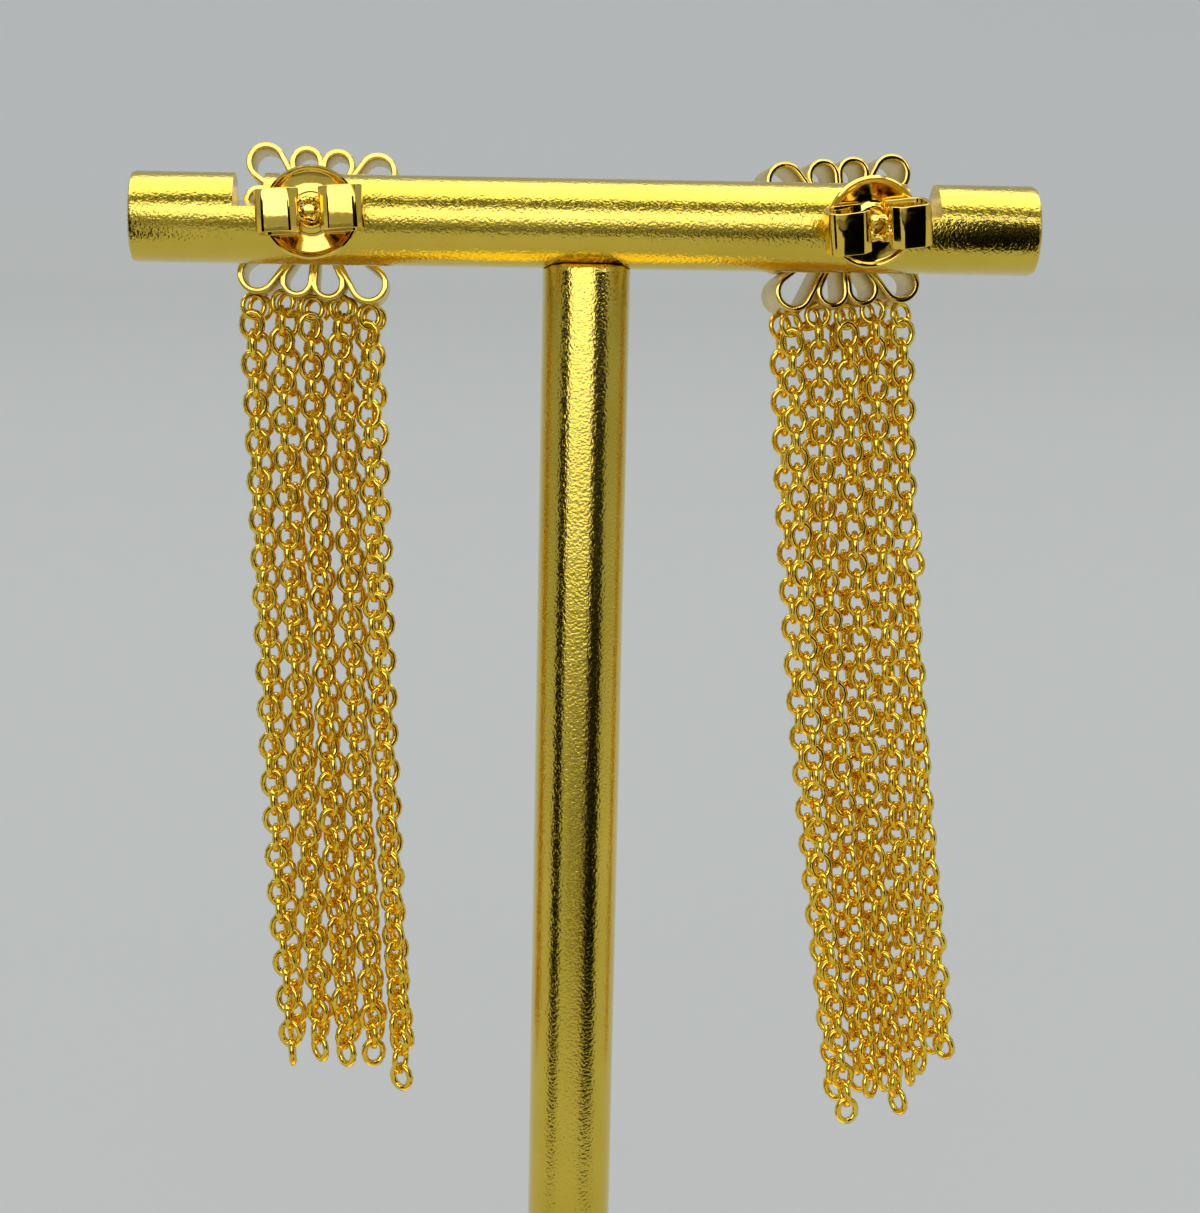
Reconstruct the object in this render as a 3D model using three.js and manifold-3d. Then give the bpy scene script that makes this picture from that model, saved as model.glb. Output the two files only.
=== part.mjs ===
// A pair of chain fringe stud earrings, hung by their posts in a T-bar stand.
//
// Millimetres, +Z up. The origin is the centre of the stand's foot. The bar runs along X. Each post goes
// through the bar along Y: the ornament that faces forward when worn is on the +Y side of the bar, and the
// clutch that holds the post is on the -Y side. Left is -X.

import * as THREE from "three";
import { mergeVertices } from "three/addons/utils/BufferGeometryUtils.js";
import Module from "manifold-3d";

const DEGREE = Math.PI / 180;

// Clearance between pieces that touch or nearly touch on the real object.
const GAP = 0.3;
// Cutters and joined pieces run this far past the surface that they cut or meet.
const OVERRUN = 1;

// Stand: a round foot, a rod for the stem and the same rod across it.
const STAND_HEIGHT = 100;
const FOOT = { radius: 28, height: 5, edge: 0.6, sides: 48 };
const BAR = { radius: 3, length: 60.4, edge: 0.3, sides: 40 };
// The stem's top is hollowed to seat the bar, and stands this far up the bar's sides.
const STEM = { radius: 2.95, seat: 0.5, topEdge: 0.45, footEdge: 0.2, sides: 32 };
// Threaded ends of the stem, which screw into the foot and into the bar.
const STUD = { radius: 1.5, length: 2.4, boreSides: 20 };
const NOTCH = { fromCentre: 22.4, width: 2, depth: 2 }; // slots across the top of the bar for ear wires
const POST_HOLE = { radius: 1.5, sides: 20 };
const BAR_Z = STAND_HEIGHT - BAR.radius;

// Ornament: an openwork rosette of petal loops round a hub, cut from strip on edge.
const ROSETTE = { halfSide: 5.12, depth: 4.6, wall: 0.4, petals: 12, firstAngle: 15, curveSegments: 7 };
const CORNER_PETAL = { tipRadius: 1.35 };
const SIDE_PETAL = { tipRadius: 1.15 };
const PETAL_ROOT = { fromCentre: 1.5, radius: 0.52 };
const HUB = { radius: 1.35, sides: 24 };
const POST = { radius: 0.4, length: 8.8, sides: 12 };

// Hanger rings, soldered under the ornament in two rows of five. Each carries one strand of chain.
const RING = { radius: 0.78, wireRadius: 0.2, wireSides: 4, sides: 9 };
const RINGS = [
  { x: -3.94, z: -5.9, turn: 24 },
  { x: -1.97, z: -5.48, turn: -22 },
  { x: 0, z: -5.7, turn: 20 },
  { x: 1.97, z: -5.5, turn: -26 },
  { x: 3.94, z: -5.9, turn: 30 },
];
// Each row is so far forward of the ornament's back face. The front one is set a little inward, to the stem.
const RING_ROWS = { rear: { y: 1.3, inward: 0 }, front: { y: 3.3, inward: 0.3 } };

// Clutch: a friction nut made of a washer and a strip rolled into a scroll on each side of the post.
const WASHER = { radius: 3.1, thickness: 0.35, sides: 32 };
const SCROLL = {
  strip: 0.3,
  radius: 1.35,
  width: 2.8,
  centreFromPost: 2.13,
  rootFromPost: 0.8,
  lipFromPost: 0.76,
  curveSegments: 7,
};
const BORE = { radius: 0.85, sides: 16 };

// Fringe: cable chain, drawn here as the tube that it fills.
const CHAIN = { tubeRadius: 0.75, sides: 8, steps: 10 };

// How each earring hangs in its hole. The weight of the fringe tips the ornament's end of the post down.
// The clutch is turned on the post by its own roll, and a loose one sits askew by its cock.
// inward is the sign, along X, of the way to the stem.
// drift and curl say how far the fringe moves towards +X over its drop: drift * drop + curl * drop ^ 2.
const EARRINGS = [
  {
    side: "left",
    x: -18.2,
    inward: 1,
    yaw: 0.5,
    roll: 4.4,
    clutch: { roll: -4, cock: 0 },
    drift: 0.025,
    curl: 0.00039,
    drops: { rear: [53.6, 54.2, 53.9, 53.5, 55.6], front: [52.4, 53.0, 52.8, 53.2, 52.6] },
  },
  {
    side: "right",
    x: 18.2,
    inward: -1,
    yaw: -5.5,
    roll: -4.8,
    clutch: { roll: -7, cock: 18 },
    drift: 0.066,
    curl: 0.00075,
    drops: { rear: [57.6, 57.0, 57.6, 55.9, 54.6], front: [56.9, 56.2, 56.4, 56.6, 54.2] },
  },
];
const DROOP = 10;
const POST_HEIGHT_IN_HOLE = 0.1; // the post crosses the bar this far above the bar's centre line

// Each strand bows a little of its own accord between its ends.
const BOWS = {
  rear: [0.1, -0.08, 0.06, 0.1, -0.08],
  front: [-0.06, 0.08, -0.1, 0.05, 0.08],
};

const wasm = await Module();
wasm.setup();

function solid(geometry) {
  const bare = geometry.clone();
  bare.deleteAttribute("normal");
  bare.deleteAttribute("uv");
  const merged = mergeVertices(bare, 1e-4);
  return new wasm.Manifold(
    new wasm.Mesh({
      numProp: 3,
      vertProperties: new Float32Array(merged.attributes.position.array),
      triVerts: new Uint32Array(merged.index.array),
    }),
  );
}

function geometryOf(made) {
  const mesh = made.getMesh();
  const geometry = new THREE.BufferGeometry();
  geometry.setAttribute("position", new THREE.BufferAttribute(new Float32Array(mesh.vertProperties), 3));
  geometry.setIndex(new THREE.BufferAttribute(new Uint32Array(mesh.triVerts), 1));
  geometry.computeVertexNormals();
  return geometry;
}

function join(geometries) {
  return geometries.map(solid).reduce((whole, piece) => whole.add(piece));
}

function cut(whole, cutters) {
  return cutters.map(solid).reduce((rest, cutter) => rest.subtract(cutter), whole);
}

// A turned piece on the Z axis, from [radius, height] pairs that start and end on the axis, lowest first.
function turned(profile, sides) {
  const points = profile.map(([radius, height]) => new THREE.Vector2(radius, height));
  return new THREE.LatheGeometry(points, sides).rotateX(Math.PI / 2);
}

function rodAlongY(radius, fromY, toY, sides) {
  const length = toY - fromY;
  return new THREE.CylinderGeometry(radius, radius, length, sides).translate(0, fromY + length / 2, 0);
}

// Stand

function footGeometry() {
  const { radius, height, edge, sides } = FOOT;
  const boreFloor = height - STUD.length - GAP;
  return turned(
    [
      [0, 0],
      [radius - edge, 0],
      [radius, edge],
      [radius, height - edge],
      [radius - edge, height],
      [STUD.radius + GAP, height],
      [STUD.radius + GAP, boreFloor],
      [0, boreFloor],
    ],
    sides,
  );
}

function stemGeometry() {
  const bottom = FOOT.height + GAP;
  const top = BAR_Z - BAR.radius + STEM.seat;
  const rod = turned(
    [
      [0, bottom],
      [STEM.radius - STEM.footEdge, bottom],
      [STEM.radius, bottom + STEM.footEdge],
      [STEM.radius, top - STEM.topEdge],
      [STEM.radius - STEM.topEdge, top],
      [0, top],
    ],
    STEM.sides,
  );
  const seat = rodAlongY(BAR.radius + GAP, -STEM.radius - OVERRUN, STEM.radius + OVERRUN, BAR.sides)
    .rotateZ(Math.PI / 2)
    .translate(0, 0, BAR_Z);
  const studBottom = bottom - STUD.length;
  const studTop = BAR_Z - BAR.radius - GAP + STUD.length;
  const stud = rodAlongY(STUD.radius, studBottom, studTop, STEM.sides).rotateX(Math.PI / 2);
  return geometryOf(cut(solid(rod), [seat]).add(solid(stud)));
}

function barGeometry() {
  const { radius, length, edge, sides } = BAR;
  const half = length / 2;
  const rod = turned(
    [
      [0, -half],
      [radius - edge, -half],
      [radius, edge - half],
      [radius, half - edge],
      [radius - edge, half],
      [0, half],
    ],
    sides,
  ).rotateY(Math.PI / 2);
  const cutters = [];
  for (const side of [-1, 1]) {
    cutters.push(
      new THREE.BoxGeometry(NOTCH.width, 2 * radius + OVERRUN, NOTCH.depth + OVERRUN).translate(
        side * NOTCH.fromCentre,
        0,
        radius - NOTCH.depth + (NOTCH.depth + OVERRUN) / 2,
      ),
    );
  }
  for (const { x } of EARRINGS) {
    const hole = rodAlongY(POST_HOLE.radius, -radius - OVERRUN, radius + OVERRUN, POST_HOLE.sides);
    cutters.push(hole.translate(x, 0, 0));
  }
  // The stud starts a gap below the bar, so a bore as deep as its length leaves the same gap over it.
  const boreTop = STUD.length - radius;
  cutters.push(
    rodAlongY(STUD.radius + GAP, -radius - OVERRUN, boreTop, STUD.boreSides).rotateX(Math.PI / 2),
  );
  return geometryOf(cut(solid(rod), cutters));
}

// Ornament. Its own frame: the post's axis is Y, the back face is y = 0 and the petals run forward, to +Y.

// Outline of one petal along +X: a round tip and a round root, joined by their common tangents.
function petalOutline(outline, tipCentre, tipRadius, rootRadius) {
  const rootCentre = PETAL_ROOT.fromCentre;
  const meet = Math.acos((rootRadius - tipRadius) / (tipCentre - rootCentre));
  outline.absarc(tipCentre, 0, tipRadius, -meet, meet, false);
  outline.absarc(rootCentre, 0, rootRadius, meet, 2 * Math.PI - meet, false);
  outline.closePath();
  return outline;
}

function petalGeometry(angle) {
  const isCorner = Math.abs((angle % 90) - 45) < 1;
  const { tipRadius } = isCorner ? CORNER_PETAL : SIDE_PETAL;
  // The tips all touch the sides of one square.
  const reach = Math.max(Math.abs(Math.cos(angle * DEGREE)), Math.abs(Math.sin(angle * DEGREE)));
  const tipCentre = (ROSETTE.halfSide - tipRadius) / reach;
  const shape = petalOutline(new THREE.Shape(), tipCentre, tipRadius, PETAL_ROOT.radius);
  shape.holes.push(
    petalOutline(new THREE.Path(), tipCentre, tipRadius - ROSETTE.wall, PETAL_ROOT.radius - ROSETTE.wall),
  );
  const { depth, curveSegments } = ROSETTE;
  return new THREE.ExtrudeGeometry(shape, { depth, bevelEnabled: false, curveSegments })
    .rotateX(Math.PI / 2)
    .translate(0, depth, 0)
    .rotateY(-angle * DEGREE);
}

// Where a ring hangs in the ornament's frame.
function ringPlace(ring, row, inward) {
  return new THREE.Vector3(ring.x + inward * RING_ROWS[row].inward, RING_ROWS[row].y, ring.z);
}

function ringGeometry(ring, row, inward) {
  const { x, y, z } = ringPlace(ring, row, inward);
  return new THREE.TorusGeometry(RING.radius, RING.wireRadius, RING.wireSides, RING.sides)
    .rotateX(Math.PI / 2)
    .rotateZ(ring.turn * DEGREE)
    .translate(x, y, z);
}

function ornamentGeometry(inward) {
  const pieces = [];
  for (let petal = 0; petal < ROSETTE.petals; petal += 1) {
    pieces.push(petalGeometry(ROSETTE.firstAngle + (360 / ROSETTE.petals) * petal));
  }
  pieces.push(rodAlongY(HUB.radius, 0, ROSETTE.depth, HUB.sides));
  pieces.push(rodAlongY(POST.radius, -POST.length, OVERRUN, POST.sides));
  for (const row of Object.keys(RING_ROWS)) {
    for (const ring of RINGS) {
      pieces.push(ringGeometry(ring, row, inward));
    }
  }
  return geometryOf(join(pieces));
}

// Clutch. Its own frame: the post's axis is Y, the washer lies on y = 0 and the scrolls rise to -Y.

function scrollGeometry(side) {
  const { strip, radius, width, centreFromPost, rootFromPost, lipFromPost, curveSegments } = SCROLL;
  const top = 2 * radius;
  const shape = new THREE.Shape();
  shape.moveTo(rootFromPost, 0);
  shape.lineTo(centreFromPost, 0);
  shape.absarc(centreFromPost, radius, radius, -Math.PI / 2, Math.PI / 2, false);
  shape.quadraticCurveTo(lipFromPost, top, lipFromPost, top - radius);
  shape.lineTo(lipFromPost + strip, top - radius);
  shape.quadraticCurveTo(lipFromPost + strip, top - strip, centreFromPost, top - strip);
  shape.absarc(centreFromPost, radius, radius - strip, Math.PI / 2, -Math.PI / 2, true);
  shape.lineTo(rootFromPost, strip);
  shape.closePath();
  const half = new THREE.ExtrudeGeometry(shape, { depth: width, bevelEnabled: false, curveSegments })
    .translate(0, 0, -width / 2)
    .rotateX(Math.PI);
  return side > 0 ? half : half.rotateY(Math.PI);
}

function clutchGeometry() {
  const washer = rodAlongY(WASHER.radius, -WASHER.thickness, 0, WASHER.sides);
  const scrollFoot = -WASHER.thickness + SCROLL.strip / 3;
  const scrolls = [-1, 1].map((side) => scrollGeometry(side).translate(0, scrollFoot, 0));
  const bore = rodAlongY(BORE.radius, -WASHER.thickness - OVERRUN, OVERRUN, BORE.sides);
  return geometryOf(cut(join([washer, ...scrolls]), [bore]));
}

// Fringe

class StrandCurve extends THREE.Curve {
  constructor(top, drop, { drift, curl }, bow) {
    super();
    Object.assign(this, { top, drop, drift, curl, bow });
  }

  getPoint(t, target = new THREE.Vector3()) {
    const down = this.drop * t;
    const sideways = this.drift * down + this.curl * down * down + this.bow * Math.sin(2 * Math.PI * t);
    return target.set(this.top.x + sideways, this.top.y, this.top.z - down);
  }
}

function strandGeometry(curve) {
  const section = new THREE.Shape();
  for (let corner = 0; corner < CHAIN.sides; corner += 1) {
    const angle = ((corner + 0.5) / CHAIN.sides) * 2 * Math.PI;
    const point = [CHAIN.tubeRadius * Math.cos(angle), CHAIN.tubeRadius * Math.sin(angle)];
    if (corner === 0) section.moveTo(...point);
    else section.lineTo(...point);
  }
  section.closePath();
  return new THREE.ExtrudeGeometry(section, { steps: CHAIN.steps, extrudePath: curve, bevelEnabled: false });
}

// How far along a tilted post a flat face of this half width sits from the bar's axis, clear of the bar.
// The face is square to the post, or turned from that by cock about the bar's direction.
function standoff(yaw, halfWidth, cock = 0) {
  const across = Math.abs(Math.sin(yaw * DEGREE) * Math.cos(DROOP * DEGREE));
  const square = BAR.radius * Math.sqrt(1 - across * across) + across * halfWidth + GAP;
  return square / Math.cos(cock * DEGREE);
}

const polishedGold = { color: 0xd9a52c, roughness: 0.15, metalness: 1 };
const satinGold = { color: 0xc2a84a, roughness: 0.45, metalness: 1 };

function piece(name, geometry, finish) {
  const mesh = new THREE.Mesh(geometry, new THREE.MeshStandardMaterial(finish));
  mesh.name = name;
  return mesh;
}

const model = new THREE.Group();
model.add(piece("stand_foot", footGeometry(), satinGold));
model.add(piece("stand_stem", stemGeometry(), satinGold));
const bar = piece("stand_bar", barGeometry(), satinGold);
bar.position.z = BAR_Z;
model.add(bar);

for (const earring of EARRINGS) {
  const { side, x, inward, yaw, roll, clutch: hang, drops } = earring;
  const post = new THREE.Group();
  post.position.set(x, 0, BAR_Z + POST_HEIGHT_IN_HOLE);
  post.rotation.set(-DROOP * DEGREE, roll * DEGREE, -yaw * DEGREE, "ZXY");
  model.add(post);

  const ornament = piece(`ornament_${side}`, ornamentGeometry(inward), polishedGold);
  ornament.position.y = standoff(yaw, ROSETTE.halfSide);
  const clutch = piece(`clutch_${side}`, clutchGeometry(), polishedGold);
  clutch.position.y = -standoff(yaw, WASHER.radius, hang.cock);
  clutch.rotation.set(hang.cock * DEGREE, (hang.roll - roll) * DEGREE, 0);
  post.add(ornament, clutch);

  model.updateMatrixWorld(true);
  const belowRing = new THREE.Vector3(0, 0, -(RING.radius + RING.wireRadius + GAP));
  for (const row of Object.keys(RING_ROWS)) {
    RINGS.forEach((ring, column) => {
      const top = ornament.localToWorld(ringPlace(ring, row, inward).add(belowRing));
      const curve = new StrandCurve(top, drops[row][column], earring, BOWS[row][column]);
      model.add(piece(`strand_${side}_${row}_${column + 1}`, strandGeometry(curve), polishedGold));
    });
  }
}

export default model;
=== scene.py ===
import math
import random

import bmesh
import bpy
from mathutils import Matrix, Vector


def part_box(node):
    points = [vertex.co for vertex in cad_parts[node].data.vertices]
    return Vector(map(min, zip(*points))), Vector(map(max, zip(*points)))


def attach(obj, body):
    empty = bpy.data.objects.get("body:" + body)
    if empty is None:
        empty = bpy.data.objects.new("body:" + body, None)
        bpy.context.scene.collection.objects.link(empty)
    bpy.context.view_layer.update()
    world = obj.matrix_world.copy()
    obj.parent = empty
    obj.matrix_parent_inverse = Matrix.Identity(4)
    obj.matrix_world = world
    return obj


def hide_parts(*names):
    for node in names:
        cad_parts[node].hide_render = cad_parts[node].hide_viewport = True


# A pair of chain fringe earrings on a T-bar display stand, seen from behind. Metres, +Z up, with the
# bar along X. The clutches are on the -Y side of the bar and the ornaments face +Y.
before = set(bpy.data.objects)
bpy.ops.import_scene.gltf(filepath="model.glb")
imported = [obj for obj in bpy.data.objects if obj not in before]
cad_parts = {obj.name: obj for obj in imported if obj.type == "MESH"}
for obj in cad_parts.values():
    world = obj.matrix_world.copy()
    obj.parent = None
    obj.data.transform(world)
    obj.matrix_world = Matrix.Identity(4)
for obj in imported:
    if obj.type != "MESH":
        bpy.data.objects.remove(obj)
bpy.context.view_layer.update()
MM = 0.001

# The camera stands a hand's width in front of the clutches, a little above the bar, and looks down the stem.
bar_low, bar_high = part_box("stand_bar")
bar_centre = (bar_low + bar_high) / 2
CAMERA_FROM_BAR = Vector((-8.9, -171.1, 12.5)) * MM
CAMERA_HEADING, CAMERA_DIP, CAMERA_ROLL = (math.radians(degrees) for degrees in (3.44, 12.74, 1.21))
CAMERA_LENS, CAMERA_SENSOR = 75.3, 36
CAMERA_NEAR, CAMERA_FAR = 1 * MM, 20
camera_data = bpy.data.cameras.new("camera")
camera_data.lens = CAMERA_LENS
camera_data.sensor_width = CAMERA_SENSOR
camera_data.clip_start = CAMERA_NEAR
camera_data.clip_end = CAMERA_FAR
camera = bpy.data.objects.new("camera", camera_data)
camera.matrix_world = (
    Matrix.Translation(bar_centre + CAMERA_FROM_BAR)
    @ Matrix.Rotation(-CAMERA_HEADING, 4, "Z")
    @ Matrix.Rotation(math.pi / 2 - CAMERA_DIP, 4, "X")
    @ Matrix.Rotation(CAMERA_ROLL, 4, "Z")
)
bpy.context.collection.objects.link(camera)
bpy.context.scene.camera = camera
bpy.context.scene.view_settings.view_transform = "Standard"
bpy.context.scene.view_settings.look = "High Contrast"

# Foot. A plain steel disc under the stem, plated and sand-blasted like the rest of the stand, with its
# edges broken by a small radius.
FOOT_EDGE = 0.6 * MM
FOOT_SIDES = 160
# An edge that turns more degrees than this shows as a sharp one.
CREASE = 35


def lay_down(name, shape, *materials, crease=CREASE):
    """A finished piece: its shape as one smooth mesh, sharp at the edges that turn more than crease."""
    bmesh.ops.recalc_face_normals(shape, faces=shape.faces)
    mesh = bpy.data.meshes.new(name)
    shape.to_mesh(mesh)
    shape.free()
    for face in mesh.polygons:
        face.use_smooth = True
    mesh.set_sharp_from_angle(angle=math.radians(crease))
    for material in materials:
        mesh.materials.append(material)
    made = bpy.data.objects.new(name, mesh)
    bpy.context.collection.objects.link(made)
    return made


def rod(shape, radius, low, high, sides, place=Matrix.Identity(4)):
    """A capped rod on the Z axis from low to high, then moved by place. Returns its vertices."""
    stand_up = place @ Matrix.Translation((0, 0, (low + high) / 2))
    made = bmesh.ops.create_cone(
        shape,
        cap_ends=True,
        segments=sides,
        radius1=radius,
        radius2=radius,
        depth=high - low,
        matrix=stand_up,
    )
    return made["verts"]


def break_edges(shape, edges, width, segments):
    bmesh.ops.bevel(
        shape, geom=edges, offset=width, segments=segments, profile=0.5, affect="EDGES", material=-1
    )


def is_cap_edge(edge):
    """True for an edge between a flat end and the round side of a rod."""
    return len(edge.link_faces) == 2 and max(len(face.verts) for face in edge.link_faces) > 4


def plated(name, colour, roughness):
    """A metal plated in gold. Returns its material, node tree and shader."""
    material = bpy.data.materials.new(name)
    material.use_nodes = True
    tree = material.node_tree
    shader = tree.nodes["Principled BSDF"]
    shader.inputs["Metallic"].default_value = 1
    shader.inputs["Base Color"].default_value = (*colour, 1)
    shader.inputs["Roughness"].default_value = roughness
    shader.inputs["Coat Roughness"].default_value = roughness
    return material, tree, shader


def noise(tree, scale, detail):
    """A noise on Object coordinates. scale is in waves to the metre."""
    place = tree.nodes.new("ShaderNodeTexCoord")
    texture = tree.nodes.new("ShaderNodeTexNoise")
    texture.inputs["Scale"].default_value = scale
    texture.inputs["Detail"].default_value = detail
    tree.links.new(place.outputs["Object"], texture.inputs["Vector"])
    return texture.outputs["Fac"]


# Most of a noise lies between these two values.
NOISE_LOW, NOISE_HIGH = 0.3, 0.7


def spread(tree, value, low, high):
    """A noise's value, stretched to run from low to high."""
    stretch = tree.nodes.new("ShaderNodeMapRange")
    stretch.inputs["From Min"].default_value = NOISE_LOW
    stretch.inputs["From Max"].default_value = NOISE_HIGH
    stretch.inputs["To Min"].default_value = low
    stretch.inputs["To Max"].default_value = high
    tree.links.new(value, stretch.inputs["Value"])
    return stretch.outputs["Result"]


# The colour sockets of a Mix node, which share their names with its sockets for numbers and vectors.
MIX_FACTOR, MIX_FIRST, MIX_SECOND, MIX_RESULT = 0, 6, 7, 2


def blend_colours(tree, value, first, second):
    """A colour that runs from first, where value is 0, to second, where it is 1."""
    mix = tree.nodes.new("ShaderNodeMix")
    mix.data_type = "RGBA"
    mix.inputs[MIX_FIRST].default_value = (*first, 1)
    mix.inputs[MIX_SECOND].default_value = (*second, 1)
    tree.links.new(value, mix.inputs[MIX_FACTOR])
    return mix.outputs[MIX_RESULT]


def bumps(tree, shader, height, distance):
    """Bumps of that height field, distance metres deep, on the shader's surface."""
    bump = tree.nodes.new("ShaderNodeBump")
    bump.inputs["Strength"].default_value = 1
    bump.inputs["Distance"].default_value = distance
    tree.links.new(height, bump.inputs["Height"])
    tree.links.new(bump.outputs["Normal"], shader.inputs["Normal"])


# The blast leaves a grain of a fifth of a millimetre, and the plating over it is a little uneven in colour.
satin_gold, tree, shader = plated("satin_gold", colour=(0.8, 0.63, 0.1), roughness=0.17)
shader.inputs["Coat Weight"].default_value = 1
grain = noise(tree, scale=5000, detail=1)
bumps(tree, shader, grain, 0.03 * MM)
patches = spread(tree, noise(tree, scale=160, detail=3), 0, 1)
tree.links.new(
    blend_colours(tree, patches, (0.77, 0.59, 0.075), (0.84, 0.65, 0.105)), shader.inputs["Base Color"]
)
tree.links.new(spread(tree, grain, 0.15, 0.22), shader.inputs["Roughness"])

foot_low, foot_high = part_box("stand_foot")
shape = bmesh.new()
rod(shape, foot_high.x, foot_low.z, foot_high.z, FOOT_SIDES)
break_edges(shape, [edge for edge in shape.edges if is_cap_edge(edge)], FOOT_EDGE, segments=4)
foot = lay_down("foot", shape, satin_gold)
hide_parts("stand_foot")
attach(foot, "stand")

# Stem. A length of 6 mm rod screwed into the foot. Its top has a turned chamfer and is hollowed to seat the
# bar, which hides the thread that holds them together.
STEM_CHAMFER = 0.45 * MM
SEAT_DEPTH, SEAT_CLEARANCE = 0.5 * MM, 0.05 * MM
STEM_SIDES, BAR_SIDES = 96, 128
# How far a cut runs on past the metal.
OVERRUN = 1 * MM


def carve(piece, cutters):
    """Cuts the closed shapes in cutters out of piece."""
    tool_mesh = bpy.data.meshes.new("cutters")
    cutters.to_mesh(tool_mesh)
    cutters.free()
    tool = bpy.data.objects.new("cutters", tool_mesh)
    bpy.context.collection.objects.link(tool)
    cut = piece.modifiers.new("cut", "BOOLEAN")
    cut.operation = "DIFFERENCE"
    cut.solver = "EXACT"
    cut.object = tool
    bpy.context.view_layer.update()
    carved = bpy.data.meshes.new_from_object(piece.evaluated_get(bpy.context.evaluated_depsgraph_get()))
    piece.modifiers.clear()
    piece.data = carved
    piece.data.set_sharp_from_angle(angle=math.radians(CREASE))
    bpy.data.objects.remove(tool)


stem_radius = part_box("stand_stem")[1].x
bar_radius = bar_high.z - bar_centre.z
along_bar = Matrix.Translation(bar_centre) @ Matrix.Rotation(math.pi / 2, 4, "Y")
shape = bmesh.new()
rod(shape, stem_radius, foot_high.z, bar_low.z + SEAT_DEPTH, STEM_SIDES)
top_rim = [edge for edge in shape.edges if is_cap_edge(edge) and edge.verts[0].co.z > bar_centre.z / 2]
break_edges(shape, top_rim, STEM_CHAMFER, segments=2)
stem = lay_down("stem", shape, satin_gold)
seat = bmesh.new()
reach = stem_radius + OVERRUN
rod(seat, bar_radius + SEAT_CLEARANCE, -reach, reach, BAR_SIDES, along_bar)
carve(stem, seat)
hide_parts("stand_stem")
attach(stem, "stand")

# Bar. The same rod laid across, its ends faced and chamfered, with a slot for ear wires cut across the top
# near each end and a hole for an ear post drilled through, front to back, between slot and stem.
BAR_CHAMFER = 0.3 * MM
SLOT_FROM_CENTRE, SLOT_WIDTH, SLOT_DEPTH = 22.4 * MM, 2 * MM, 2 * MM
POST_HOLE_RADIUS, POST_HOLE_SIDES = 1.5 * MM, 48
POST_X = {"left": -18.2 * MM, "right": 18.2 * MM}
CUT_EDGE = 0.07 * MM


def round_edges(piece, width, degrees):
    """Rounds off the edges of piece that turn more than that. Returns the modifier."""
    rounding = piece.modifiers.new("edges", "BEVEL")
    rounding.width = width
    rounding.segments = 2
    rounding.limit_method = "ANGLE"
    rounding.angle_limit = math.radians(degrees)
    return rounding


shape = bmesh.new()
rod(shape, bar_radius, bar_low.x, bar_high.x, BAR_SIDES, along_bar)
break_edges(shape, [edge for edge in shape.edges if is_cap_edge(edge)], BAR_CHAMFER, segments=2)
bar = lay_down("bar", shape, satin_gold)
cutters = bmesh.new()
through_bar = Matrix.Rotation(math.pi / 2, 4, "X")
for side in (-1, 1):
    slot_middle = bar_high.z - SLOT_DEPTH + (SLOT_DEPTH + OVERRUN) / 2
    slot_place = Vector((side * SLOT_FROM_CENTRE, 0, slot_middle))
    slot_size = Vector((SLOT_WIDTH, 2 * bar_radius + OVERRUN, SLOT_DEPTH + OVERRUN))
    bmesh.ops.create_cube(cutters, matrix=Matrix.LocRotScale(slot_place, None, slot_size))
for post_x in POST_X.values():
    hole_place = Matrix.Translation((post_x, 0, bar_centre.z)) @ through_bar
    reach = bar_radius + OVERRUN
    rod(cutters, POST_HOLE_RADIUS, -reach, reach, POST_HOLE_SIDES, hole_place)
carve(bar, cutters)
round_edges(bar, CUT_EDGE, 40)
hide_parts("stand_bar")
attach(bar, "stand")

# Ornaments. Each is an openwork rosette of twelve petal loops bent from flat strip on edge and soldered to
# a short tube at the centre, which carries the ear post. The rims are polished and the walls matt. The walls'
# paler, washed-out gold is a painted reflection of the pale backdrop that they catch at a grazing angle.
HALF_SIDE, DEPTH, WALL = 5.12 * MM, 4.6 * MM, 0.4 * MM
PETALS, FIRST_PETAL = 12, 15
CORNER_TIP, SIDE_TIP = 1.35 * MM, 1.15 * MM
ROOT_FROM_CENTRE, ROOT_RADIUS = 1.5 * MM, 0.52 * MM
TIP_STEPS, ROOT_STEPS = 20, 8
RIM_EDGE = 0.07 * MM
HUB_RADIUS, HUB_EDGE, HUB_SIDES = 1.35 * MM, 0.35 * MM, 48
POST_RADIUS, POST_EDGE, POST_SIDES, POST_LENGTH = 0.4 * MM, 0.1 * MM, 24, 8.8 * MM
CLEARANCE = 0.3 * MM
DROOP = math.radians(10)
POST_ABOVE_BAR_CENTRE = 0.1 * MM
YAW = {"left": math.radians(0.5), "right": math.radians(-5.5)}
ROLL = {"left": math.radians(4.4), "right": math.radians(-4.8)}


def hang(side):
    """The frame of an earring's post: its Y axis is the post's, from the clutch to the ornament."""
    return (
        Matrix.Translation((POST_X[side], 0, bar_centre.z + POST_ABOVE_BAR_CENTRE))
        @ Matrix.Rotation(-YAW[side], 4, "Z")
        @ Matrix.Rotation(-DROOP, 4, "X")
        @ Matrix.Rotation(ROLL[side], 4, "Y")
    )


def standoff(side, half_width, cock=0):
    """How far along the post a face of that half width sits from the bar's axis, clear of the bar."""
    across = abs(math.sin(YAW[side]) * math.cos(DROOP))
    square = bar_radius * math.sqrt(1 - across * across) + across * half_width + CLEARANCE
    return square / math.cos(cock)


def arc(shape, start, centre, turn, steps):
    """An arc of edges in the XZ plane from start, turned about centre. Returns its two end vertices."""
    first = shape.verts.new(start)
    swept = bmesh.ops.spin(
        shape, geom=[first], cent=centre, axis=(0, -1, 0), angle=turn, steps=steps, use_merge=False
    )
    return first, swept["geom_last"][0]


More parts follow.
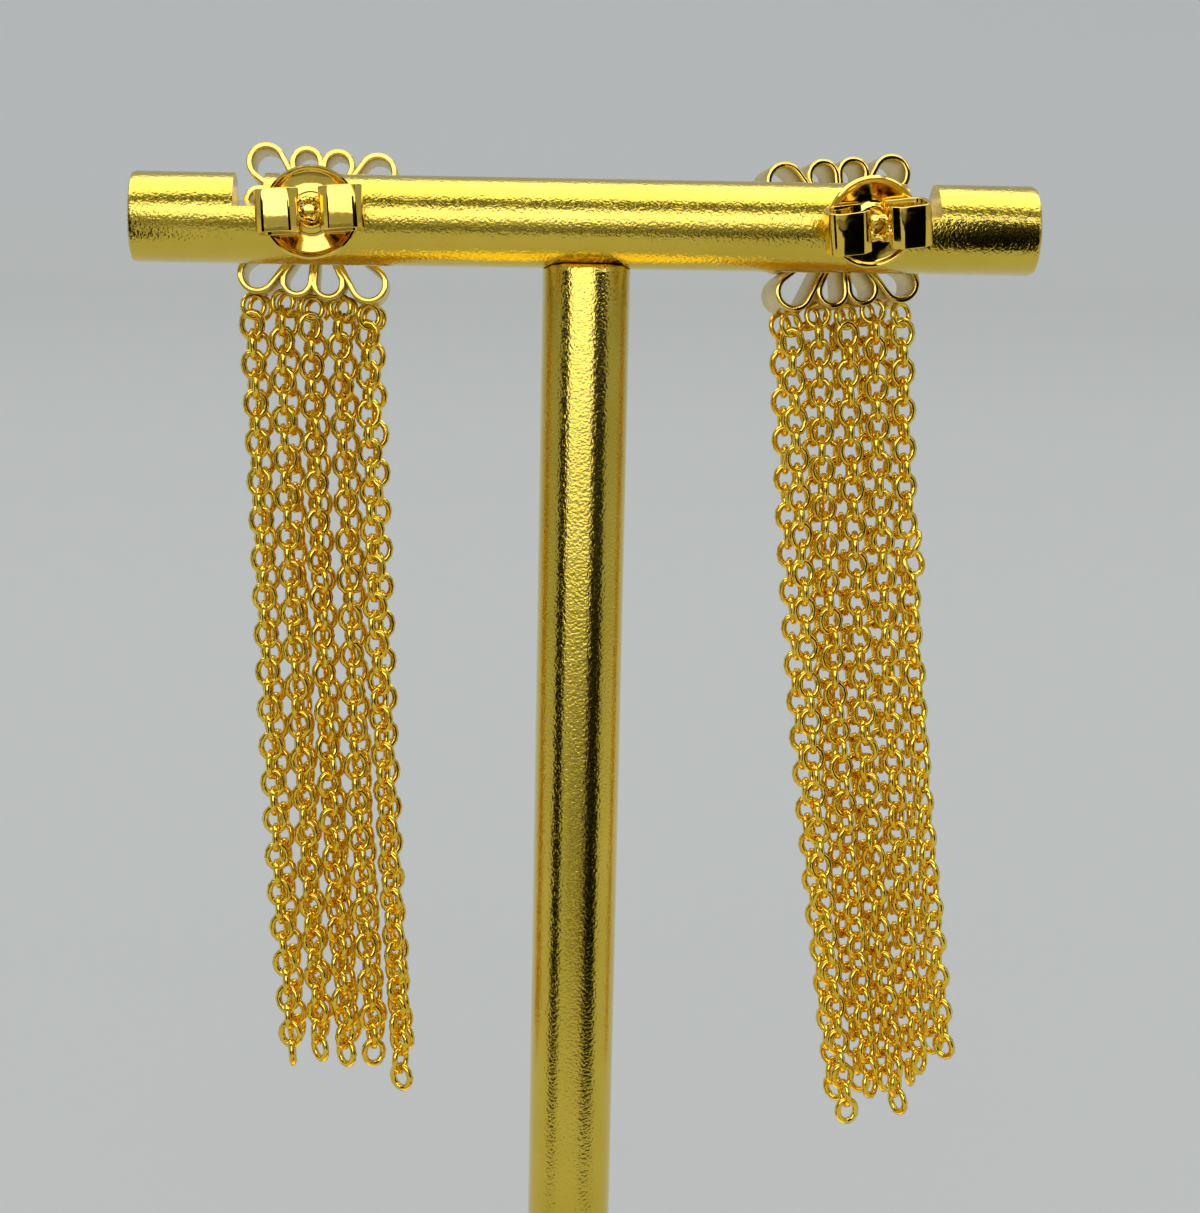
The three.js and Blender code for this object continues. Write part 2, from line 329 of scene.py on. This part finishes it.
def draw_out(shape, edges):
    """Walls drawn from those edges. Returns the vertices at their far side, which haven't moved yet."""
    drawn = bmesh.ops.extrude_edge_only(shape, edges=edges)["geom"]
    return [part for part in drawn if isinstance(part, bmesh.types.BMVert)]


def petal(shape, degrees):
    """One petal's strip, still with no thickness: a round tip and a round root, joined by tangents."""
    is_corner = abs(degrees % 90 - 45) < 1
    tip_radius = (CORNER_TIP if is_corner else SIDE_TIP) - WALL / 2
    root_radius = ROOT_RADIUS - WALL / 2
    angle = math.radians(degrees)
    tip = (HALF_SIDE - WALL / 2 - tip_radius) / max(abs(math.cos(angle)), abs(math.sin(angle)))
    meet = math.acos((root_radius - tip_radius) / (tip - ROOT_FROM_CENTRE))
    before = set(shape.verts)
    upward = Vector((math.cos(meet), 0, math.sin(meet)))
    downward = Vector((math.cos(meet), 0, -math.sin(meet)))
    tip_centre, root_centre = Vector((tip, 0, 0)), Vector((ROOT_FROM_CENTRE, 0, 0))
    tip_from = tip_centre + downward * tip_radius
    tip_start, tip_end = arc(shape, tip_from, tip_centre, 2 * meet, TIP_STEPS)
    root_from = root_centre + upward * root_radius
    root_start, root_end = arc(shape, root_from, root_centre, 2 * (math.pi - meet), ROOT_STEPS)
    shape.edges.new((tip_end, root_start))
    shape.edges.new((root_end, tip_start))
    outline = [vert for vert in shape.verts if vert not in before]
    far = draw_out(shape, list({edge for vert in outline for edge in vert.link_edges}))
    bmesh.ops.translate(shape, verts=far, vec=(0, DEPTH, 0))
    bmesh.ops.rotate(shape, verts=outline + far, matrix=Matrix.Rotation(-angle, 3, "Y"))


polished_gold, tree, shader = plated("polished_gold", colour=(0.93, 0.7, 0.16), roughness=0.09)
bumps(tree, shader, noise(tree, scale=900, detail=2), 0.012 * MM)
tint = spread(tree, noise(tree, scale=300, detail=2), 0, 1)
tree.links.new(
    blend_colours(tree, tint, (0.90, 0.66, 0.13), (0.95, 0.73, 0.2)), shader.inputs["Base Color"]
)
wear = noise(tree, scale=2600, detail=3)
tree.links.new(spread(tree, wear, 0.05, 0.14), shader.inputs["Roughness"])

# Painted reflection: the walls are gold, but their base colour is paler and greyer than the rims'. It stands
# in for the pale backdrop that the walls mirror at a grazing angle.
matt_wall_painted_reflection, tree, shader = plated("matt_wall_painted_reflection", colour=(0.84, 0.72, 0.45), roughness=0.36)
brushing = noise(tree, scale=6000, detail=2)
bumps(tree, shader, brushing, 0.01 * MM)
tree.links.new(
    blend_colours(tree, spread(tree, brushing, 0, 1), (0.80, 0.66, 0.32), (0.88, 0.76, 0.46)),
    shader.inputs["Base Color"],
)

for side in ("left", "right"):
    ornament_place = hang(side) @ Matrix.Translation((0, standoff(side, HALF_SIDE), 0))
    shape = bmesh.new()
    for step in range(PETALS):
        petal(shape, FIRST_PETAL + 360 / PETALS * step)
    bmesh.ops.transform(shape, matrix=ornament_place, verts=shape.verts)
    petals = lay_down(f"ornament_{side}_petals", shape, matt_wall_painted_reflection, polished_gold)
    strip = petals.modifiers.new("strip", "SOLIDIFY")
    strip.thickness = WALL
    strip.offset = 0
    strip.material_offset_rim = 1
    round_edges(petals, RIM_EDGE, 60).material = 1
    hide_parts(f"ornament_{side}")
    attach(petals, "stand")

    shape = bmesh.new()
    along_post = Matrix.Rotation(-math.pi / 2, 4, "X")
    rod(shape, HUB_RADIUS, 0, DEPTH, HUB_SIDES, along_post)
    break_edges(shape, [edge for edge in shape.edges if is_cap_edge(edge)], HUB_EDGE, segments=4)
    post_verts = rod(shape, POST_RADIUS, -POST_LENGTH, OVERRUN, POST_SIDES, along_post)
    post_rim = {edge for vert in post_verts for edge in vert.link_edges if is_cap_edge(edge)}
    break_edges(shape, list(post_rim), POST_EDGE, segments=2)
    bmesh.ops.transform(shape, matrix=ornament_place, verts=shape.verts)
    hub = lay_down(f"ornament_{side}_hub_and_post", shape, polished_gold)
    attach(hub, "stand")

# Hanger rings. Two rows of five split rings of round wire, soldered under each rosette and turned a little
# every way. Each carries one strand of chain.
RING_RADIUS, RING_WIRE = 0.78 * MM, 0.19 * MM
RING_GAP = math.radians(14)
RING_STEPS, WIRE_SIDES = 22, 10
# Wire stays smooth round its section, so its crease is a wide one.
WIRE_CREASE = 70
# Where each ring is in its row, in millimetres, and the degrees that it is turned.
RINGS = (
    {"x": -3.94, "z": -5.9, "turn": 24},
    {"x": -1.97, "z": -5.48, "turn": -22},
    {"x": 0, "z": -5.7, "turn": 20},
    {"x": 1.97, "z": -5.5, "turn": -26},
    {"x": 3.94, "z": -5.9, "turn": 30},
)
RING_ROWS = {"rear": {"y": 1.3, "inward": 0}, "front": {"y": 3.3, "inward": 0.3}}
INWARD = {"left": 1, "right": -1}

chain_gold, tree, shader = plated("chain_gold", colour=(0.94, 0.66, 0.1), roughness=0.17)
tint = spread(tree, noise(tree, scale=700, detail=2), 0, 1)
tree.links.new(
    blend_colours(tree, tint, (0.97, 0.68, 0.09), (1, 0.77, 0.15)), shader.inputs["Base Color"]
)
wear = noise(tree, scale=4000, detail=2)
tree.links.new(spread(tree, wear, 0.07, 0.18), shader.inputs["Roughness"])
bumps(tree, shader, noise(tree, scale=3000, detail=2), 0.006 * MM)


def ring_place(side, row, ring):
    """Where a hanger ring's centre is."""
    sideways = ring["x"] + INWARD[side] * RING_ROWS[row]["inward"]
    there = Vector((sideways, RING_ROWS[row]["y"], ring["z"])) * MM
    ornament_place = hang(side) @ Matrix.Translation((0, standoff(side, HALF_SIDE), 0))
    return ornament_place @ Matrix.Translation(there)


def bent_wire(shape, radius, wire, turn, steps, sides):
    """Round wire bent round the Y axis through turn, starting on +X. Returns its vertices."""
    before = set(shape.verts)
    section = Matrix.Translation((radius, 0, 0))
    whole = math.isclose(turn, 2 * math.pi)
    bmesh.ops.create_circle(shape, cap_ends=not whole, radius=wire, segments=sides, matrix=section)
    drawn = [vert for vert in shape.verts if vert not in before]
    faces = {face for vert in drawn for face in vert.link_faces}
    edges = {edge for vert in drawn for edge in vert.link_edges}
    bmesh.ops.spin(
        shape,
        geom=[*drawn, *edges, *faces],
        cent=(0, 0, 0),
        axis=(0, 1, 0),
        angle=turn,
        steps=steps,
        use_merge=whole,
    )
    return [vert for vert in shape.verts if vert not in before]


for side in ("left", "right"):
    shape = bmesh.new()
    for row in RING_ROWS:
        for ring in RINGS:
            split = 2 * math.pi - RING_GAP
            bent = bent_wire(shape, RING_RADIUS, RING_WIRE, split, RING_STEPS, WIRE_SIDES)
            turn = Matrix.Rotation(math.radians(ring["turn"]), 4, "Z")
            # Each ring's split is somewhere else round it, because it too goes by the ring's turn.
            opening = Matrix.Rotation(math.radians(3 * ring["turn"]), 4, "Y")
            bmesh.ops.transform(shape, matrix=ring_place(side, row, ring) @ turn @ opening, verts=bent)
    rings = lay_down(f"ornament_{side}_hanger_rings", shape, chain_gold, crease=WIRE_CREASE)
    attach(rings, "stand")

# Clutches. A butterfly ear nut is a dished washer with a rolled rim, and a springy strip rolled into a
# scroll on each side of the post. A waved collar stands for the crimped lips that grip the post, and each
# clutch slides off along its own post.
WASHER_RADIUS, WASHER_STEPS = 3.1 * MM, 72
# The washer's cut edge, as distances from the post's axis and along it, in millimetres.
WASHER_SECTION = (
    (0.85, 0.0),
    (2.92, 0.0),
    (3.06, -0.06),
    (3.1, -0.18),
    (3.06, -0.3),
    (2.95, -0.35),
    (2.82, -0.32),
    (2.72, -0.24),
    (2.55, -0.19),
    (2.0, -0.12),
    (1.45, -0.08),
    (1.25, -0.14),
    (1.12, -0.26),
    (0.98, -0.3),
    (0.85, -0.26),
)
SCROLL_STRIP, SCROLL_WIDTH, STRIP_EDGE = 0.3 * MM, 2.8 * MM, 0.06 * MM
SCROLL_FOOT, SCROLL_ROOT = 0.25 * MM, 0.8 * MM
# Each straight of the rolled strip and the radius of the bend after it, in millimetres, and its degrees.
SCROLL_BENDS = ((1.63, 0.9, 90), (0.8, 0.7, 90), (1.2, 0.3, 40), (0.45, 0.35, 50), (0.3, 0, 0))
BEND_STEP = 9
COLLAR_RADIUS, COLLAR_WIRE, COLLAR_UP, COLLAR_STEPS = 0.66 * MM, 0.21 * MM, 2.15 * MM, 40
COLLAR_WAVES, COLLAR_SWELL, COLLAR_LIFT = 5, 0.1, 0.12 * MM
CLUTCH_ROLL = {"left": math.radians(-4), "right": math.radians(-7)}
CLUTCH_COCK = {"left": 0, "right": math.radians(18)}


def scroll_path(way):
    """The middle line of the strip that is rolled up on one side of the post, in the clutch's frame."""
    point = Vector((way * SCROLL_ROOT, -SCROLL_FOOT - SCROLL_STRIP / 2, 0))
    heading = Vector((way, 0, 0))
    points = [point.copy()]
    for straight, radius, degrees in SCROLL_BENDS:
        point += heading * straight * MM
        points.append(point.copy())
        steps = round(degrees / BEND_STEP)
        turn = math.radians(degrees / max(steps, 1))
        chord = 2 * radius * MM * math.sin(turn / 2)
        for _ in range(steps):
            point += Matrix.Rotation(-way * turn / 2, 3, "Z") @ heading * chord
            heading = Matrix.Rotation(-way * turn, 3, "Z") @ heading
            points.append(point.copy())
    return points


for side in ("left", "right"):
    clutch_place = (
        hang(side)
        @ Matrix.Translation((0, -standoff(side, WASHER_RADIUS, CLUTCH_COCK[side]), 0))
        @ Matrix.Rotation(CLUTCH_COCK[side], 4, "X")
        @ Matrix.Rotation(CLUTCH_ROLL[side] - ROLL[side], 4, "Y")
    )
    shape = bmesh.new()
    section = [shape.verts.new((radius * MM, height * MM, 0)) for radius, height in WASHER_SECTION]
    edges = [shape.edges.new((section[step - 1], section[step])) for step in range(len(section))]
    bmesh.ops.spin(
        shape,
        geom=[*section, *edges],
        cent=(0, 0, 0),
        axis=(0, 1, 0),
        angle=2 * math.pi,
        steps=WASHER_STEPS,
        use_merge=True,
    )
    bmesh.ops.transform(shape, matrix=clutch_place, verts=shape.verts)
    washer = lay_down(f"clutch_{side}_washer", shape, polished_gold)
    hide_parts(f"clutch_{side}")
    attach(washer, f"nut_{side}")

    shape = bmesh.new()
    for way in (-1, 1):
        path = [shape.verts.new(point) for point in scroll_path(way)]
        for first, second in zip(path, path[1:]):
            shape.edges.new((first, second))
        far = draw_out(shape, list({edge for vert in path for edge in vert.link_edges}))
        bmesh.ops.translate(shape, verts=path, vec=(0, 0, -SCROLL_WIDTH / 2))
        bmesh.ops.translate(shape, verts=far, vec=(0, 0, SCROLL_WIDTH / 2))
    bmesh.ops.transform(shape, matrix=clutch_place, verts=shape.verts)
    scrolls = lay_down(f"clutch_{side}_scrolls", shape, polished_gold)
    strip = scrolls.modifiers.new("strip", "SOLIDIFY")
    strip.thickness = SCROLL_STRIP
    strip.offset = 0
    round_edges(scrolls, STRIP_EDGE, 50)
    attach(scrolls, f"nut_{side}")

    shape = bmesh.new()
    bent_wire(shape, COLLAR_RADIUS, COLLAR_WIRE, 2 * math.pi, COLLAR_STEPS, WIRE_SIDES)
    for vert in shape.verts:
        wave = COLLAR_WAVES * math.atan2(vert.co.z, vert.co.x)
        vert.co.xz *= 1 + COLLAR_SWELL * math.cos(wave)
        vert.co.y += COLLAR_LIFT * math.sin(wave) - COLLAR_UP
    bmesh.ops.transform(shape, matrix=clutch_place, verts=shape.verts)
    collar = lay_down(f"clutch_{side}_collar", shape, polished_gold)
    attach(collar, f"nut_{side}")

# Fringe. Twenty strands of fine cable chain, each hung from its own ring. The links are oval, of round
# wire, and each stands a quarter turn from the last, but a strand slowly twists as it falls.
LINK_LENGTH, LINK_WIDTH, LINK_WIRE = 2.28 * MM, 1.9 * MM, 0.24 * MM
LINK_PITCH = 1.36 * MM
LINK_STEPS, LINK_SIDES = 12, 6
LAST_LINK_REACH = 1.01 * MM
# A strand strays sideways by DRIFT for each metre that it falls, and by CURL for that length squared.
DRIFT = {"left": 0.025, "right": 0.066}
CURL = {"left": 0.39, "right": 0.75}
# The length of each strand, and how far it bows to one side and then the other, in millimetres.
DROPS = {
    "left": {"rear": (53.6, 54.2, 53.9, 53.5, 55.6), "front": (52.4, 53.0, 52.8, 53.2, 52.6)},
    "right": {"rear": (57.6, 57.0, 57.6, 55.9, 54.6), "front": (56.9, 56.2, 56.4, 56.6, 54.2)},
}
BOWS = {"rear": (0.1, -0.08, 0.06, 0.1, -0.08), "front": (-0.06, 0.08, -0.1, 0.05, 0.08)}
# Degrees that each strand's links are turned at its top, and at its foot.
TWISTS = {
    "left": {
        "rear": ((4, -6), (96, 60), (8, 50), (88, 110), (-4, -40)),
        "front": ((86, 60), (20, 80), (100, 40), (10, 60), (80, 130)),
    },
    "right": {
        "rear": ((0, 14), (80, 130), (12, -50), (92, 30), (6, 60)),
        "front": ((100, 50), (0, 70), (70, 140), (30, -30), (95, 60)),
    },
}
TWIST_SWAY, TILT_SWAY = 7, 3
# Two links of one strand have caught on each other, and stand out from it.
KINK = {"strand": ("right", "rear", 4), "link": 11, "sideways": 0.35 * MM, "turn": 55}
BELOW_RING = 1.27 * MM


def route(top, drop, side, bow, down):
    """The point of a strand's route that lies so far below its top."""
    bowed = bow * MM * math.sin(2 * math.pi * down / drop)
    sideways = DRIFT[side] * down + CURL[side] * down * down + bowed
    return Vector((top.x + sideways, top.y, top.z - down))


link_shape = bmesh.new()
bent_wire(link_shape, LINK_WIDTH / 2 - LINK_WIRE, LINK_WIRE, 2 * math.pi, LINK_STEPS, LINK_SIDES)
for vert in link_shape.verts:
    from_middle = math.hypot(vert.co.x, vert.co.z)
    vert.co.z += vert.co.z / from_middle * (LINK_LENGTH - LINK_WIDTH) / 2
link_mesh = bpy.data.meshes.new("link")
link_shape.to_mesh(link_mesh)
link_shape.free()

sway = random.Random(7)
for side in ("left", "right"):
    for row in RING_ROWS:
        for column, ring in enumerate(RINGS):
            drop = DROPS[side][row][column] * MM
            top = ring_place(side, row, ring) @ Vector((0, 0, -BELOW_RING))
            twist_top, twist_foot = TWISTS[side][row][column]
            links = round((drop - LAST_LINK_REACH) / LINK_PITCH) + 1
            bow = BOWS[row][column]
            shape = bmesh.new()
            for link in range(links):
                down = link * LINK_PITCH
                centre = route(top, drop, side, bow, down)
                above = route(top, drop, side, bow, down - LINK_PITCH / 2)
                below = route(top, drop, side, bow, down + LINK_PITCH / 2)
                twist = twist_top + (twist_foot - twist_top) * link / links + 90 * (link % 2)
                twist += sway.gauss(0, TWIST_SWAY)
                tilt = sway.gauss(0, TILT_SWAY)
                past_kink = link - KINK["link"]
                if (side, row, column) == KINK["strand"] and past_kink in (0, 1):
                    centre.x += KINK["sideways"]
                    tilt += KINK["turn"] * (1 - 2 * past_kink) / 2
                lean = Vector((0, 0, 1)).rotation_difference(above - below).to_matrix().to_4x4()
                turned = lean @ Matrix.Rotation(math.radians(twist), 4, "Z")
                turned = turned @ Matrix.Rotation(math.radians(tilt), 4, "X")
                before = len(shape.verts)
                shape.from_mesh(link_mesh)
                shape.verts.ensure_lookup_table()
                bmesh.ops.transform(
                    shape, matrix=Matrix.Translation(centre) @ turned, verts=shape.verts[before:]
                )
            name = f"chain_{side}_{row}_{column + 1}"
            strand = lay_down(name, shape, chain_gold, crease=WIRE_CREASE)
            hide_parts(f"strand_{side}_{row}_{column + 1}")
            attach(strand, "stand")

# Studio. A pale floor that sweeps up into a wall, a wide soft light in front and another overhead, and
# black and grey cards that only the metal sees, which put the dark lines into it.
FLOOR_WIDTH, FLOOR_FRONT, FLOOR_BACK, SWEEP_RADIUS, WALL_HEIGHT = 5, -2, 0.9, 0.5, 1.6
SWEEP_STEPS = 24


def matt_paper(name, colour, roughness=0.5):
    """Paper or card that has no gloss of its own."""
    material = bpy.data.materials.new(name)
    material.use_nodes = True
    shader = material.node_tree.nodes["Principled BSDF"]
    shader.inputs["Base Color"].default_value = (*colour, 1)
    shader.inputs["Roughness"].default_value = roughness
    shader.inputs["Specular IOR Level"].default_value = 0
    return material


shape = bmesh.new()
front = shape.verts.new((-FLOOR_WIDTH / 2, FLOOR_FRONT, 0))
bend = shape.verts.new((-FLOOR_WIDTH / 2, FLOOR_BACK, 0))
shape.edges.new((front, bend))
swept = bmesh.ops.spin(
    shape,
    geom=[bend],
    cent=(-FLOOR_WIDTH / 2, FLOOR_BACK, SWEEP_RADIUS),
    axis=(1, 0, 0),
    angle=math.pi / 2,
    steps=SWEEP_STEPS,
    use_merge=False,
)
top = shape.verts.new((-FLOOR_WIDTH / 2, FLOOR_BACK + SWEEP_RADIUS, WALL_HEIGHT))
shape.edges.new((swept["geom_last"][0], top))
far = draw_out(shape, shape.edges[:])
bmesh.ops.translate(shape, verts=far, vec=(FLOOR_WIDTH, 0, 0))
floor = lay_down("floor", shape, matt_paper("paper", (0.52, 0.525, 0.49), roughness=0.9))

card_black = matt_paper("card_black", (0.004, 0.004, 0.004))
card_grey = matt_paper("card_grey", (0.24, 0.24, 0.24))


def aimed(place, at):
    """A turn that points a card's or a light's -Z axis from place to at."""
    return Matrix.Translation(place) @ (at - place).to_track_quat("-Z", "Y").to_matrix().to_4x4()


def show_card(name, where, width, height, material):
    """A card of that size in millimetres, which only the metal sees."""
    shape = bmesh.new()
    size = Matrix.Diagonal((width * MM, height * MM, 1, 1))
    bmesh.ops.create_grid(shape, x_segments=1, y_segments=1, size=0.5, matrix=where @ size)
    made = lay_down(name, shape, material)
    made.visible_camera = False
    made.visible_diffuse = False
    made.visible_shadow = False


def flat_card(name, place, width, depth, turn=0, material=card_black):
    """A card that lies level. Its place is in millimetres, and its turn in degrees."""
    where = Matrix.Translation(Vector(place) * MM) @ Matrix.Rotation(math.radians(turn), 4, "Z")
    show_card(name, where, width, depth, material)


def standing_card(name, place, width, height):
    """A black card that stands square to the bar's centre."""
    show_card(name, aimed(Vector(place) * MM, bar_centre), width, height, card_black)


def soft_light(name, place, width, height, power, colour=(1, 1, 1)):
    """A large lamp that faces the bar's centre."""
    data = bpy.data.lights.new(name, "AREA")
    data.shape = "RECTANGLE"
    data.size = width * MM
    data.size_y = height * MM
    data.energy = power
    data.color = colour
    made = bpy.data.objects.new(name, data)
    made.matrix_world = aimed(Vector(place) * MM, bar_centre)
    made.visible_camera = False
    bpy.context.collection.objects.link(made)


def across_bar(elevation, distance):
    """A place in the plane across the bar, at an elevation from 0, in front, to 180, behind."""
    angle = math.radians(elevation)
    return bar_centre / MM + Vector((0, -distance * math.cos(angle), distance * math.sin(angle)))


flat_card("card_table_front", (200, -1000, 1), width=1500, depth=1240, material=card_grey)
flat_card("card_table_edge", (30, -322, 2), width=380, depth=76, turn=6)
flat_card("card_table_right", (120, -300, 1), width=170, depth=150)
standing_card("card_side", (168, -300, 130), width=110, height=280)
standing_card("card_overhead", across_bar(54, 540), width=1200, height=60)
standing_card("card_left", (-106, -74, 75), width=48, height=150)
standing_card("card_right", (84, -99, 75), width=70, height=150)
soft_light("window", across_bar(25, 2500), 6000, 1450, power=26, colour=(0.94, 0.95, 1.35))
soft_light("overhead", across_bar(98, 2800), 5600, 3400, power=56)

world = bpy.data.worlds.new("room")
world.use_nodes = True
room_light = world.node_tree.nodes["Background"]
room_light.inputs["Color"].default_value = (0.9, 0.95, 1, 1)
room_light.inputs["Strength"].default_value = 0.34
bpy.context.scene.world = world
